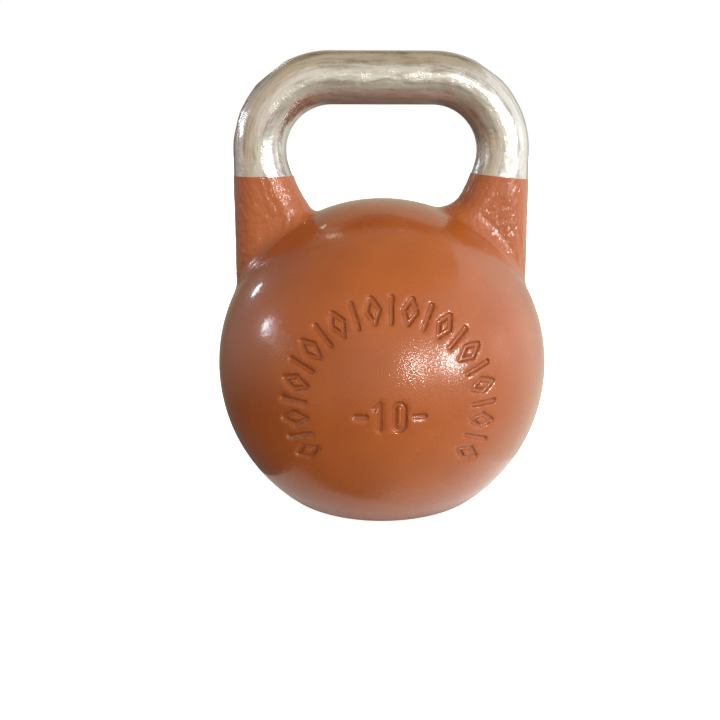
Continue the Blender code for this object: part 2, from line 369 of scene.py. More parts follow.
def onto_surface(points, distance, rounds=8, longest=0.002):
    """Moves points on to the surface where the distance is nought."""
    for _ in range(rounds):
        slope = slope_of(distance, points)
        steep = np.maximum((slope**2).sum(axis=1), 1e-6)
        move = -(distance(points) / steep)[:, None] * slope
        size = np.linalg.norm(move, axis=1, keepdims=True)
        points = points + move * np.minimum(1.0, longest / np.maximum(size, 1e-12))
    return points


# ---------------------------------------------------------------- mesh helpers


def vertex_places(mesh):
    places = np.empty(len(mesh.vertices) * 3)
    mesh.vertices.foreach_get("co", places)
    return places.reshape(-1, 3)


def set_vertex_places(mesh, places):
    mesh.vertices.foreach_set("co", places.ravel())
    mesh.update()


def set_attribute(mesh, name, values):
    """Stores one number, or one vector, for each vertex."""
    values = np.asarray(values, dtype=np.float32)
    kind, field = ("FLOAT", "value") if values.ndim == 1 else ("FLOAT_VECTOR", "vector")
    attribute = mesh.attributes.new(name, kind, "POINT")
    attribute.data.foreach_set(field, values.ravel())


def add_object(name, mesh):
    obj = bpy.data.objects.new(name, mesh)
    bpy.context.scene.collection.objects.link(obj)
    return obj


def mesh_of(shape, name):
    bmesh.ops.recalc_face_normals(shape, faces=shape.faces)
    mesh = bpy.data.meshes.new(name)
    shape.to_mesh(mesh)
    shape.free()
    return mesh


def apply_modifiers(obj):
    """Turns what an object's modifiers make into its own mesh."""
    graph = bpy.context.evaluated_depsgraph_get()
    mesh = bpy.data.meshes.new_from_object(obj.evaluated_get(graph))
    obj.modifiers.clear()
    obj.data = mesh


def skin_rings(shape, rings, closed=True):
    """Joins rings of points, of equal count, into a tube, and closes its ends."""
    rows = [[shape.verts.new(point) for point in ring] for ring in rings]
    for lower, upper in zip(rows, rows[1:]):
        for i in range(len(lower)):
            j = (i + 1) % len(lower)
            shape.faces.new((lower[i], lower[j], upper[j], upper[i]))
    if closed:
        shape.faces.new(rows[0])
        shape.faces.new(rows[-1])
    return rows


def rough_noise(points, scale, seed, stretch=(1.0, 1.0, 1.0)):
    """Smooth noise from -1 to 1, of about the given feature size in metres."""
    scaled = points / (scale * np.asarray(stretch)) + seed
    return np.array([noise.noise(Vector(p)) for p in scaled])


# ---------------------------------------------------------------- the marks


def stroke_distance(u, v, start, end):
    """Distance in the marks' own plane to a straight stroke."""
    along = np.array(end) - np.array(start)
    length = max(float(along @ along), 1e-12)
    share = np.clip(((u - start[0]) * along[0] + (v - start[1]) * along[1]) / length, 0.0, 1.0)
    return np.hypot(u - start[0] - share * along[0], v - start[1] - share * along[1])


def ring_distance(u, v):
    """Distance to the ring of lozenges and bars; u runs round the ring and v outwards."""
    nearest = np.full(len(u), FAR_OFF)
    reach = (MARK_HEIGHT - MARK_STROKE) / 2
    for i in range(RING_CELLS):
        middle = (i + 0.5) * CELL_WIDTH
        top, bottom = (middle, reach), (middle, -reach)
        if i % 2:
            strokes = ((bottom, top),)
        else:
            left, right = (middle - LOZENGE_HALF, 0.0), (middle + LOZENGE_HALF, 0.0)
            strokes = ((bottom, left), (left, top), (top, right), (right, bottom))
        for start, end in strokes:
            nearest = np.minimum(nearest, stroke_distance(u, v, start, end))
    return nearest


def figure_distance(u, v):
    """Distance to the weight mark: the figures 1 and 0 between two short bars."""
    half = (FIGURE_HEIGHT - MARK_STROKE) / 2
    one, nought, bar, width, bar_half = -0.0056, 0.0052, 0.0160, 0.0027, 0.0030
    strokes = (
        ((one, -half), (one, half)),
        ((one, half), (one - 0.0026, half - 0.0028)),
        ((nought - width, -half + width), (nought - width, half - width)),
        ((nought + width, -half + width), (nought + width, half - width)),
        ((-bar - bar_half, 0.0), (-bar + bar_half, 0.0)),
        ((bar - bar_half, 0.0), (bar + bar_half, 0.0)),
    )
    nearest = np.full(len(u), FAR_OFF)
    for start, end in strokes:
        nearest = np.minimum(nearest, stroke_distance(u, v, start, end))
    for end in (-1, 1):
        height = v - end * (half - width)
        arc = np.abs(np.hypot(u - nought, height) - width)
        bend = np.where(end * height > 0, arc, FAR_OFF)
        nearest = np.minimum(nearest, bend)
    return nearest


def mark_distance(points):
    """Distance over the ball's surface from each point to the middle of the nearest stroke."""
    out = (points - CENTRE) / np.linalg.norm(points - CENTRE, axis=1, keepdims=True)
    nearest = np.full(len(points), FAR_OFF)
    tilt = np.arccos(np.clip(-out[:, 1], -1.0, 1.0))
    reach = 0.6 * MARK_HEIGHT / BALL_RADIUS
    ring = np.abs(tilt - RING_ANGLE) < reach
    turn = (RING_START + RING_PITCH / 2 - np.arctan2(out[ring, 2], out[ring, 0])) % (2 * math.pi)
    u = turn * BALL_RADIUS * math.sin(RING_ANGLE)
    v = (tilt[ring] - RING_ANGLE) * BALL_RADIUS
    nearest[ring] = ring_distance(u, v)
    middle = tilt < RING_ANGLE - reach
    u = BALL_RADIUS * np.arctan2(out[middle, 0], -out[middle, 1])
    v = BALL_RADIUS * np.arcsin(out[middle, 2]) + FIGURE_DROP
    nearest[middle] = figure_distance(u, v)
    return nearest


# ---------------------------------------------------------------- the casting


def leg_ring(side, height, count):
    """The oblong outline of a leg at one height."""
    ring = []
    drawn = float(flare(np.float64(height)))
    for i in range(count):
        angle = 2 * math.pi * i / count
        across = GRIP_RADIUS * math.cos(angle)
        share = 0.5 if abs(across) < 1e-7 else float(across < 0)
        x = side * (LEG_X + across - share * drawn)
        ring.append((x, GRIP_RADIUS * math.sin(angle), height))
    return ring


def rough_casting():
    """The ball and its horns, overlapping, taken over by one even skin of small faces."""
    shape = bmesh.new()
    bmesh.ops.create_icosphere(
        shape,
        subdivisions=BALL_DIVISIONS,
        radius=BALL_RADIUS,
        matrix=Matrix.Translation(CENTRE),
    )
    cut = bmesh.ops.bisect_plane(
        shape,
        geom=shape.verts[:] + shape.edges[:] + shape.faces[:],
        plane_co=(0, 0, 0),
        plane_no=(0, 0, -1),
        clear_outer=True,
    )
    rim = [e for e in cut["geom_cut"] if isinstance(e, bmesh.types.BMEdge)]
    bmesh.ops.edgeloop_fill(shape, edges=rim)
    for side in (-1, 1):
        heights = np.linspace(HORN_BOTTOM, PAINT_Z + HORN_OVERRUN, HORN_RINGS)
        skin_rings(shape, [leg_ring(side, h, HORN_POINTS) for h in heights])
    obj = add_object("casting", mesh_of(shape, "casting"))
    remesh = obj.modifiers.new("Even skin", "REMESH")
    remesh.mode = "VOXEL"
    remesh.voxel_size = SKIN_GRAIN
    apply_modifiers(obj)
    return obj


def paint_plane(side):
    """A point on the plane where the paint ends on this horn, and the plane's normal."""
    point = Vector((side * LEG_X, 0.0, PAINT_Z + PAINT_RISE[side]))
    return point, Vector((-side * PAINT_SLOPE[side], 0.0, 1.0)).normalized()


def cut_horns(obj):
    """Ends each horn flat where its paint ends."""
    shape = bmesh.new()
    shape.from_mesh(obj.data)
    for side in (-1, 1):
        point, normal = paint_plane(side)
        faces = [
            f
            for f in shape.faces
            if f.calc_center_median().z > PAINT_Z - 0.010 and side * f.calc_center_median().x > 0
        ]
        edges = {e for f in faces for e in f.edges}
        verts = {v for f in faces for v in f.verts}
        cut = bmesh.ops.bisect_plane(
            shape,
            geom=list(verts) + list(edges) + faces,
            plane_co=point,
            plane_no=normal,
            clear_outer=True,
            dist=1e-6,
        )
        rim = [e for e in cut["geom_cut"] if isinstance(e, bmesh.types.BMEdge)]
        bmesh.ops.edgeloop_fill(shape, edges=rim)
    obj.data = mesh_of(shape, "casting")


def turned_cutter(name, profile, turns=CUTTER_TURNS):
    """A closed shape turned about Z from a profile that runs from the axis to the axis."""
    shape = bmesh.new()
    rings = [
        [
            (r * math.cos(2 * math.pi * i / turns), r * math.sin(2 * math.pi * i / turns), z)
            for i in range(turns)
        ]
        for r, z in profile
    ]
    skin_rings(shape, rings)
    return add_object(name, mesh_of(shape, name))


def hollow_profile():
    """The hollow of the ball with its flat floor, and the stepped filler hole below it."""
    inner = BALL_RADIUS - WALL
    start = HOLLOW_TOP
    end = -math.asin((BALL_Z - FLOOR) / inner)
    angles = [start + (end - start) * i / HOLLOW_STEPS for i in range(HOLLOW_STEPS + 1)]
    wall = [(inner * math.cos(a), BALL_Z + inner * math.sin(a)) for a in angles]
    return wall + [
        (HOLE_RADIUS, FLOOR),
        (HOLE_RADIUS, REBATE_DEPTH),
        (REBATE_RADIUS, REBATE_DEPTH),
        (REBATE_RADIUS, -OVERRUN),
    ]


def socket(side):
    """The socket in a horn that the handle's spigot stands in."""
    radius = SPIGOT_RADIUS + CAD_GAP
    profile = [(radius, SPIGOT_BOTTOM - CAD_GAP), (radius, WELD_TOP)]
    cutter = turned_cutter("socket", profile, SOCKET_TURNS)
    cutter.data.transform(Matrix.Translation((side * LEG_X, 0.0, 0.0)))
    return cutter


def hollow_out(obj):
    cutters = [turned_cutter("hollow", hollow_profile()), socket(-1), socket(1)]
    for cutter in cutters:
        cut = obj.modifiers.new("Cut", "BOOLEAN")
        cut.operation = "DIFFERENCE"
        cut.object = cutter
        cut.solver = "EXACT"
    apply_modifiers(obj)
    for cutter in cutters:
        bpy.data.objects.remove(cutter, do_unlink=True)


def near_marks(points):
    """The strokes of the marks and a narrow border round them."""
    return mark_distance(points) < 1.3 * MARK_REACH


def rough_parts(points):
    """The horns, the fillets round their feet and the foot's edge, which need finer faces."""
    out = np.hypot(points[:, 0], points[:, 1])
    horns = np.linalg.norm(points - CENTRE, axis=1) > BALL_RADIUS + HORN_START
    rim = (points[:, 2] < 0.006) & (out > FOOT_RADIUS - 0.005)
    return horns | rim


def refine(obj, zone):
    """Splits the outside's edges in a zone, and puts the new points on the surface."""
    places = vertex_places(obj.data)
    chosen = (np.abs(casting_distance(places)) < ON_SURFACE) & zone(places)
    shape = bmesh.new()
    shape.from_mesh(obj.data)
    shape.verts.ensure_lookup_table()
    edges = [e for e in shape.edges if all(chosen[v.index] for v in e.verts)]
    count = len(shape.verts)
    bmesh.ops.subdivide_edges(shape, edges=edges, cuts=1, use_grid_fill=True)
    shape.to_mesh(obj.data)
    shape.free()
    places = vertex_places(obj.data)
    fresh = places[count:]
    level = np.abs(casting_distance(fresh)) < 1e-3
    fresh[level] = onto_surface(fresh[level], casting_distance, rounds=3)
    places[count:] = fresh
    set_vertex_places(obj.data, places)


def relax(obj):
    """Moves each point half way to the middle of its neighbours, which evens out thin faces."""
    shape = bmesh.new()
    shape.from_mesh(obj.data)
    bmesh.ops.smooth_vert(
        shape, verts=shape.verts, factor=0.5, use_axis_x=True, use_axis_y=True, use_axis_z=True
    )
    shape.to_mesh(obj.data)
    shape.free()


def make_casting():
    obj = rough_casting()
    for _ in range(RELAX_ROUNDS):
        set_vertex_places(obj.data, onto_surface(vertex_places(obj.data), casting_distance))
        relax(obj)
    set_vertex_places(obj.data, onto_surface(vertex_places(obj.data), casting_distance))
    cut_horns(obj)
    hollow_out(obj)
    refine(obj, rough_parts)
    refine(obj, near_marks)
    refine(obj, near_marks)
    finish_surface(obj)
    return obj


def finish_surface(obj):
    """Sinks the marks and gives the outside the unevenness of a painted casting."""
    points = vertex_places(obj.data)
    outside = np.abs(casting_distance(points)) < ON_SURFACE
    outside &= points[:, 2] > ON_FOOT
    skin = points[outside]
    slope = slope_of(casting_distance, skin)
    normal = slope / np.linalg.norm(slope, axis=1, keepdims=True)
    proud = np.linalg.norm(skin - CENTRE, axis=1) - BALL_RADIUS
    horn = smooth_step(HORN_START, 0.0040, proud)
    sunk = 1.0 - smooth_step(MARK_FLAT, MARK_REACH, mark_distance(skin))
    offset = -MARK_DEPTH * sunk
    offset += SWELL_HEIGHT * rough_noise(skin, SWELL_SIZE, SEEDS["swell"])
    rough = horn > 0
    cast = skin[rough]
    pits = rough_noise(cast, WRINKLE_SIZE, SEEDS["wrinkles"])
    pits += FINE_WRINKLES * rough_noise(cast, WRINKLE_SIZE / 2, SEEDS["fine_wrinkles"])
    run_in = 1.0 - 0.5 * smooth_step(*RUN_IN, proud[rough])
    leant = cast.copy()
    leant[:, 0] = np.abs(cast[:, 0]) + flare(cast[:, 2])
    ridges = rough_noise(leant, RIDGE_SIZE, SEEDS["ridges"], (1.0, 1.0, RIDGE_STRETCH))
    uneven = WRINKLE_HEIGHT * pits * run_in + RIDGE_HEIGHT * ridges
    offset[rough] += horn[rough] * (PAINT_THICKNESS + uneven)
    offset *= smooth_step(0.0, 0.004, skin[:, 2])
    points[outside] = skin + offset[:, None] * normal
    set_vertex_places(obj.data, points)
    tilt = np.arccos(np.clip((CENTRE - skin)[:, 1] / BALL_RADIUS, -1.0, 1.0))
    shares = {
        "from_stroke": np.minimum(mark_distance(skin), PAST_MARKS),
        "horn": horn,
        "as_cast": np.maximum(1.0 - smooth_step(*ROUGH_FIELD, tilt), horn),
    }
    for name, share in shares.items():
        values = np.full(len(points), PAST_MARKS if name == "from_stroke" else 0.0)
        values[outside] = share
        set_attribute(obj.data, name, values)


# ---------------------------------------------------------------- the handle and its welds


def bar_stations():
    """Places along the bar from its left foot to its right foot: (arc length, angle of the bar's
    outer side above +X, x and z of the centre line)."""
    leg = BEND_Z - BAR_FOOT
    bend = BEND_RADIUS * math.pi / 2
    total = BAR_LENGTH
    count = round(total / BAR_STEP)
    stations = []
    for i in range(count + 1):
        along = total * i / count
        side = -1 if along < total / 2 else 1
        left = min(along, total - along)
        if left < leg:
            turn, x, z = math.pi, -LEG_X, BAR_FOOT + left
        elif left < leg + bend:
            turn = math.pi - (left - leg) / BEND_RADIUS
            x = -BEND_X + BEND_RADIUS * math.cos(turn)
            z = BEND_Z + BEND_RADIUS * math.sin(turn)
        else:
            turn, x, z = math.pi / 2, -BEND_X + left - leg - bend, GRIP_Z
        if side > 0:
            turn, x = math.pi - turn, -x
        stations.append((along, turn, x, z))
    return stations


def bar_grid():
    """Points round each station: their places, and those on the bar before it was bent."""
    stations = np.array(bar_stations())
    angles = 2 * math.pi * np.arange(BAR_POINTS) / BAR_POINTS
    along, turn, x, z = (stations[:, i][:, None] for i in range(4))
    across = GRIP_RADIUS * np.cos(angles)[None, :]
    depth = GRIP_RADIUS * np.sin(angles)[None, :] + 0 * along
    share = np.where(np.abs(across) < 1e-7, 0.5, (across < 0).astype(float))
    straight = np.abs(np.cos(turn)) > 0.9999
    reach = across - np.where(straight, share * flare(z), 0.0)
    places = np.stack((x + reach * np.cos(turn), depth, z + reach * np.sin(turn)), axis=-1)
    unbent = np.stack((along + 0 * depth, across + 0 * along, depth), axis=-1)
    return places, unbent, turn


def grind(places, unbent, turn):
    """Works the bar over as hand grinding does: long shallow waves, and flats on the bends."""
    shape = places.shape[:2]
    flat = unbent.reshape(-1, 3)
    stretch = (GRIND_STRETCH, 1.0, 1.0)
    waves = GRIND_HEIGHT * rough_noise(flat, GRIND_SIZE, SEEDS["grinding"], stretch)
    fine = rough_noise(flat, GRIND_SIZE / 2, SEEDS["fine_grinding"], stretch)
    waves += FINE_GRINDING * GRIND_HEIGHT * fine
    out = np.stack((np.cos(turn), 0 * turn, np.sin(turn)), axis=-1)
    round_angle = np.arctan2(unbent[..., 2], unbent[..., 1])[..., None]
    normal = np.cos(round_angle) * out + np.sin(round_angle) * np.array((0.0, 1.0, 0.0))
    places = places + normal * (waves.reshape(shape)[..., None] - GRIND_HEIGHT)
    for side, degrees, lean, shaved in FLATS:
        angle = math.radians(degrees)
        face = np.array((side * math.cos(angle), math.sin(math.radians(lean)), math.sin(angle)))
        face /= np.linalg.norm(face)
        pivot = np.array((side * BEND_X, 0.0, BEND_Z))
        reach = BEND_RADIUS * math.hypot(face[0], face[2]) + GRIP_RADIUS - shaved
        over = np.maximum((places - pivot) @ face - reach, 0.0)
        over *= side * places[..., 0] > 0
        places = places - over[..., None] * face
    return places


def make_handle():
    places, unbent, turn = bar_grid()
    places = grind(places, unbent, turn)
    angles = 2 * math.pi * np.arange(BAR_POINTS) / BAR_POINTS
    rings = [list(ring) for ring in places]
    coordinates = [list(ring) for ring in unbent]
    for first, side in ((True, -1), (False, 1)):
        for height in (BAR_FOOT, SPIGOT_BOTTOM):
            ring = [
                (side * (LEG_X + SPIGOT_RADIUS * math.cos(a)), SPIGOT_RADIUS * math.sin(a), height)
                for a in angles
            ]
            index = 0 if first else len(rings)
            rings.insert(index, ring)
            coordinates.insert(index, [(height, p[1], p[2]) for p in unbent[0]])
    shape = bmesh.new()
    skin_rings(shape, [[tuple(p) for p in ring] for ring in rings])
    mesh = mesh_of(shape, "handle")
    set_attribute(mesh, "unbent", np.array(coordinates).reshape(-1, 3))
    return add_object("handle", mesh)


def weld_ring(side, share, radius, angles):
    """A ring of a weld; radius is given for its bore, and is None for its outside."""
    point, normal = paint_plane(side)
    ring = []
    for angle in angles:
        height = PAINT_Z
        for _ in range(4):
            across = (radius or GRIP_RADIUS) * math.cos(angle)
            drawn = 0.0
            if not radius and across < 1e-7:
                drawn = float(flare(np.float64(height))) * (0.5 if across > -1e-7 else 1.0)
            x = side * (LEG_X + across - drawn)
            low = point.z - normal.x / normal.z * (x - point.x) + SEAM
            height = low + share * (WELD_TOP - low)
        ring.append((x, (radius or GRIP_RADIUS) * math.sin(angle), height))
    return ring


def make_weld(name, side):
    """The ground weld between a horn and the bar, flush with both, with a bore for the spigot."""
    angles = [2 * math.pi * i / BAR_POINTS for i in range(BAR_POINTS)]
    shares = np.linspace(0.0, 1.0, WELD_RINGS)
    bore = SPIGOT_RADIUS + SEAM
    rings = [weld_ring(side, 0.0, bore, angles)]
    rings += [weld_ring(side, share, None, angles) for share in shares]
    rings.append(weld_ring(side, 1.0, bore, angles))
    shape = bmesh.new()
    rows = skin_rings(shape, rings, closed=False)
    for i in range(BAR_POINTS):
        j = (i + 1) % BAR_POINTS
        shape.faces.new((rows[-1][i], rows[-1][j], rows[0][j], rows[0][i]))
    mesh = mesh_of(shape, name)
    points = vertex_places(mesh)
    outer = np.hypot(np.abs(points[:, 0]) - LEG_X, points[:, 1]) > bore + 0.001
    axis_x = side * (LEG_X - flare(points[:, 2]) / 2)
    middle = np.stack((axis_x, 0 * points[:, 1], points[:, 2]), axis=1)
    out = points - middle
    out /= np.linalg.norm(out, axis=1, keepdims=True) + 1e-9
    ground = 1.0 + WELD_GRINDING * rough_noise(points, WELD_GRIND_SIZE, SEEDS["weld"])
    points -= (outer * GRIND_HEIGHT * ground)[:, None] * out
    set_vertex_places(mesh, points)
    along = points[:, 2] - WELD_TOP
    across = side * points[:, 0] - LEG_X
    across = np.where(across > 0, across, np.minimum(across + flare(points[:, 2]), 0.0))
    along = along if side < 0 else BAR_LENGTH - along
    set_attribute(mesh, "unbent", np.stack((along, across, points[:, 1]), axis=1))
    return add_object(name, mesh)


# ---------------------------------------------------------------- materials


class Nodes:
    """A node tree, with short calls for the nodes that these looks use."""

    def __init__(self, tree):
        self.tree = tree

    def add(self, kind, inputs, **settings):
        made = self.tree.nodes.new(kind)
        for name, value in settings.items():
            setattr(made, name, value)
        for key, value in inputs.items():
            self.put(made.inputs[key], value)
        return made

    def put(self, socket, value):
        if isinstance(value, bpy.types.NodeSocket):
            self.tree.links.new(value, socket)
        else:
            socket.default_value = value

    def attribute(self, name, output="Fac"):
        return self.add("ShaderNodeAttribute", {}, attribute_name=name).outputs[output]

    def place(self):
        return self.add("ShaderNodeTexCoord", {}).outputs["Object"]

    def stretched(self, where, scale):
        mapping = self.add("ShaderNodeMapping", {"Vector": where, "Scale": scale})
        return mapping.outputs["Vector"]

    def noise(self, where, size, detail=2.0, roughness=0.5, distortion=0.0):
        made = self.add(
            "ShaderNodeTexNoise",
            {
                "Vector": where,
                "Scale": 1.0 / size,
                "Detail": detail,
                "Roughness": roughness,
                "Distortion": distortion,
            },
        )
        return made.outputs["Fac"]

    def cells(self, where, size):
        made = self.add("ShaderNodeTexVoronoi", {"Vector": where, "Scale": 1.0 / size})
        return made.outputs["Distance"]

    def ranged(self, value, low, high, to_low=0.0, to_high=1.0):
        made = self.add(
            "ShaderNodeMapRange",
            {
                "Value": value,
                "From Min": low,
                "From Max": high,
                "To Min": to_low,
                "To Max": to_high,
            },
        )
        return made.outputs["Result"]

    def math(self, operation, first, second):
        made = self.add("ShaderNodeMath", {0: first, 1: second}, operation=operation)
        return made.outputs["Value"]

    def mix(self, share, first, second):
        made = self.add("ShaderNodeMix", {}, data_type="RGBA")
        self.put(made.inputs["Factor"], share)
        self.put(made.inputs[6], first)
        self.put(made.inputs[7], second)
        return made.outputs[2]

    def bump(self, height, distance, before=None):
        inputs = {"Height": height, "Distance": distance}
        if before is not None:
            inputs["Normal"] = before
        return self.add("ShaderNodeBump", inputs).outputs["Normal"]

    def split(self, where):
        parts = self.add("ShaderNodeSeparateXYZ", {0: where}).outputs
        return parts["X"], parts["Y"], parts["Z"]

    def colours_round(self, turn, stops):
        """Colours by an azimuth from half a turn left to half a turn right; stops in degrees."""
        share = self.ranged(turn, -math.pi, math.pi)
        made = self.add("ShaderNodeValToRGB", {0: share})
        elements = made.color_ramp.elements
        while len(elements) < len(stops):
            elements.new(1.0)
        for element, (place, tint) in zip(elements, stops):
            element.position = place / 360.0 + 0.5
            element.color = colour(*tint)
        return made.outputs["Color"]


class Shader(Nodes):
    """A material with one Principled surface."""

    def __init__(self, name):
        self.material = bpy.data.materials.new(name)
        self.material.use_nodes = True
        super().__init__(self.material.node_tree)
        self.surface = self.tree.nodes["Principled BSDF"]

    def set(self, **values):
        for key, value in values.items():
            self.put(self.surface.inputs[key.replace("_", " ")], value)


def colour(red, green, blue):
    return (red, green, blue, 1.0)


def paint_material():
    """Glossy terracotta enamel: grain, orange peel, runs on the horns, painted shade in the marks.
    """
    s = Shader("terracotta_enamel")
    where = s.place()
    patches = s.noise(where, TONE_PATCH, 3.0)
    mottle = s.noise(where, MOTTLE_SIZE, 3.0)
    stroke = s.attribute("from_stroke")
    horn = s.attribute("horn")
    as_cast = s.attribute("as_cast")
    tone = s.mix(s.ranged(patches, 0.35, 0.65), PAINT_DEEP, PAINT_LIGHT)
    tone = s.mix(s.ranged(mottle, 0.4, 0.8, 0.0, 0.25), tone, PAINT_DEEP)
    # Painted shade: the paint darkens towards the bottom of each sunk stroke
    mark_shade = s.ranged(stroke, MARK_REACH, MARK_FLAT, 0.0, 0.45)
    tone = s.mix(mark_shade, tone, PAINT_MARK_SHADE)
    # Painted sheen: a paler tint on the horns, standing in for light glinting on their rough paint
    tone = s.mix(s.math("MULTIPLY", horn, 0.20), tone, PAINT_HORN_SHEEN)
    rough = s.ranged(mottle, 0.3, 0.7, 0.26, 0.36)
    grain = s.noise(where, GRAIN_SIZE, 2.0)
    grain = s.math("MULTIPLY", grain, s.ranged(as_cast, 0.0, 1.0, 0.10, 1.0))
    edge = s.ranged(stroke, 0.55 * MARK_REACH, 0.90 * MARK_REACH)
    normal = s.bump(edge, EDGE_BUMP)
    normal = s.bump(grain, GRAIN_BUMP, normal)
    peel = s.noise(where, PEEL_SIZE, 1.0)
    runs = s.noise(s.stretched(where, (1.0, 1.0, RUN_SQUEEZE)), RUN_SIZE, 2.0)
    film = s.bump(s.noise(where, FILM_SWELL_SIZE, 1.0), FILM_SWELL_BUMP)
    film = s.bump(edge, EDGE_BUMP, film)
    film = s.bump(peel, PEEL_BUMP, film)
    film = s.bump(grain, GRAIN_FILM_BUMP, film)
    film = s.bump(s.math("MULTIPLY", horn, runs), RUN_BUMP, film)
    s.set(Base_Color=tone, Roughness=rough, IOR=1.5, Specular_IOR_Level=0.35, Normal=normal)
    s.set(Coat_Weight=1.0, Coat_Roughness=0.07, Coat_IOR=1.42, Coat_Normal=film)
    return s.material


def steel_material(name):
    """Bare steel, ground by hand along the bar: blotches, streaks, fine scratches, and painted
    shade on the grip's window side.
    """
    s = Shader(name)
    where = s.attribute("unbent", "Vector")
    lengthwise = s.stretched(where, (STREAK_SQUEEZE, 1.0, 1.0))
    scratched = s.stretched(where, (SCRATCH_SQUEEZE, 1.0, 1.0))
    blotch = s.noise(lengthwise, BLOTCH_SIZE, 4.0, 0.6, 0.4)
    cloud = s.noise(where, CLOUD_SIZE, 3.0, 0.6, 0.5)
    dent = s.noise(s.stretched(where, (DENT_SQUEEZE, 1.0, 1.0)), DENT_SIZE, 2.0)
    fleck = s.noise(where, FLECK_SIZE, 3.0, 0.7)
    fleck = s.math("MULTIPLY", fleck, s.ranged(cloud, 0.42, 0.60, 0.25, 1.0))
    streak = s.noise(lengthwise, STREAK_SIZE, 3.0, 0.6)
    scratch = s.noise(scratched, SCRATCH_SIZE, 2.0)
    tone = s.mix(s.ranged(blotch, 0.46, 0.66), STEEL_LIGHT, STEEL_DARK)
    tone = s.mix(s.ranged(cloud, 0.45, 0.65, 0.0, 0.7), tone, STEEL_LIGHT)
    along, across, _ = s.split(where)
    from_middle = s.math("SUBTRACT", along, BAR_LENGTH / 2)
    # Painted shade: the steel turns darker, browner and duller on the grip's window side, standing
    # in for the shade there and the ball's brown reflection
    window_side = s.ranged(across, *(GRIP_RADIUS * share for share in UNDERSHADE_ACROSS))
    comes = s.ranged(from_middle, *UNDERSHADE_COMES)
    goes = s.ranged(from_middle, *UNDERSHADE_GOES, 1.0, 0.0)
    shade_span = s.math("MULTIPLY", comes, goes)
    painted_shade = s.math("MULTIPLY", window_side, s.ranged(blotch, 0.25, 0.6, 0.3, 1.0))
    painted_shade = s.math("MULTIPLY", painted_shade, shade_span)
    tone = s.mix(s.math("MULTIPLY", painted_shade, 0.85), tone, STEEL_UNDERSHADE)
    rough = s.ranged(streak, 0.3, 0.7, 0.15, 0.24)
    rough = s.math("ADD", rough, s.ranged(cloud, 0.40, 0.65, 0.0, 0.10))
    rough = s.math("ADD", rough, s.math("MULTIPLY", painted_shade, 0.25))
    metallic = s.math("SUBTRACT", 1.0, s.math("MULTIPLY", painted_shade, 0.55))
    normal = s.bump(dent, DENT_BUMP)
    normal = s.bump(fleck, FLECK_BUMP, normal)
    normal = s.bump(streak, STREAK_BUMP, normal)
    normal = s.bump(scratch, SCRATCH_BUMP, normal)
    s.set(Base_Color=tone, Roughness=rough, Metallic=metallic, Normal=normal)
    return s.material


def plated_material():
    """Zinc plate on the plug: turning marks, dull patches and a few dark specks."""
    s = Shader("zinc_plate")
    where = s.place()
    rings = s.add(
        "ShaderNodeTexWave",
        {"Vector": where, "Scale": 260.0, "Distortion": 1.5, "Detail": 2.0},
        wave_type="RINGS",
        rings_direction="Z",
    ).outputs["Fac"]
    patches = s.noise(where, 0.005, 4.0)
    tone = s.mix(s.ranged(patches, 0.4, 0.7), ZINC_LIGHT, ZINC_DARK)
    rough = s.ranged(patches, 0.3, 0.7, 0.28, 0.50)
    normal = s.bump(rings, 0.00002)
    s.set(Base_Color=tone, Roughness=rough, Metallic=1.0, Normal=normal)
    return s.material


def rubber_material():
    """Matt black rubber with a grey bloom."""
    s = Shader("seal_rubber")
    where = s.place()
    bloom = s.noise(where, 0.003, 4.0)
    tone = s.mix(s.ranged(bloom, 0.45, 0.75), RUBBER_DARK, RUBBER_BLOOM)
    rough = s.ranged(bloom, 0.3, 0.7, 0.55, 0.8)
    normal = s.bump(s.noise(where, 0.0004, 3.0), 0.00002)
    s.set(Base_Color=tone, Roughness=rough, Normal=normal)
    return s.material


def shot_material():
    """Iron shot set in resin: round grains of 2 mm with rusty films between them."""
    s = Shader("iron_shot")
    where = s.place()
    grains = s.cells(where, 0.0022)
    rust = s.noise(where, 0.006, 4.0)
    tone = s.mix(s.ranged(grains, 0.2, 0.6), SHOT_LIGHT, SHOT_DARK)
    tone = s.mix(s.ranged(rust, 0.5, 0.75, 0.0, 0.6), tone, SHOT_RUST)
    rough = s.ranged(grains, 0.0, 0.5, 0.35, 0.8)
    dome = s.math("SUBTRACT", 1.0, grains)
    s.set(Base_Color=tone, Roughness=rough, Metallic=0.7, Normal=s.bump(dome, 0.0010))
    return s.material


def give_material(obj, material, smooth_below=40.0):
    obj.data.materials.clear()
    obj.data.materials.append(material)
    obj.data.shade_smooth()
    obj.data.set_sharp_from_angle(angle=math.radians(smooth_below))


# ---------------------------------------------------------------- studio


def direction(azimuth, elevation):
    """A unit vector; azimuth 0 is towards -Y, the camera's side, and 90 towards +X."""
    a, e = math.radians(azimuth), math.radians(elevation)
    return Vector((math.sin(a) * math.cos(e), -math.cos(a) * math.cos(e), math.sin(e)))


def softbox(name, azimuth, elevation, distance, size, radiance, tint):
    """An oval light, turned to the ball's middle; radiance is how bright its face looks."""
    light = bpy.data.lights.new(name, "AREA")
    light.shape = "ELLIPSE"
    light.size, light.size_y = size
    light.color = tint
    light.energy = radiance * math.pi * (math.pi / 4) * size[0] * size[1]
    obj = bpy.data.objects.new(name, light)
    bpy.context.scene.collection.objects.link(obj)
    towards = direction(azimuth, elevation)
    obj.location = Vector((0.0, 0.0, BALL_Z)) + distance * towards
    obj.rotation_euler = (-towards).to_track_quat("-Z", "Y").to_euler()
    return obj


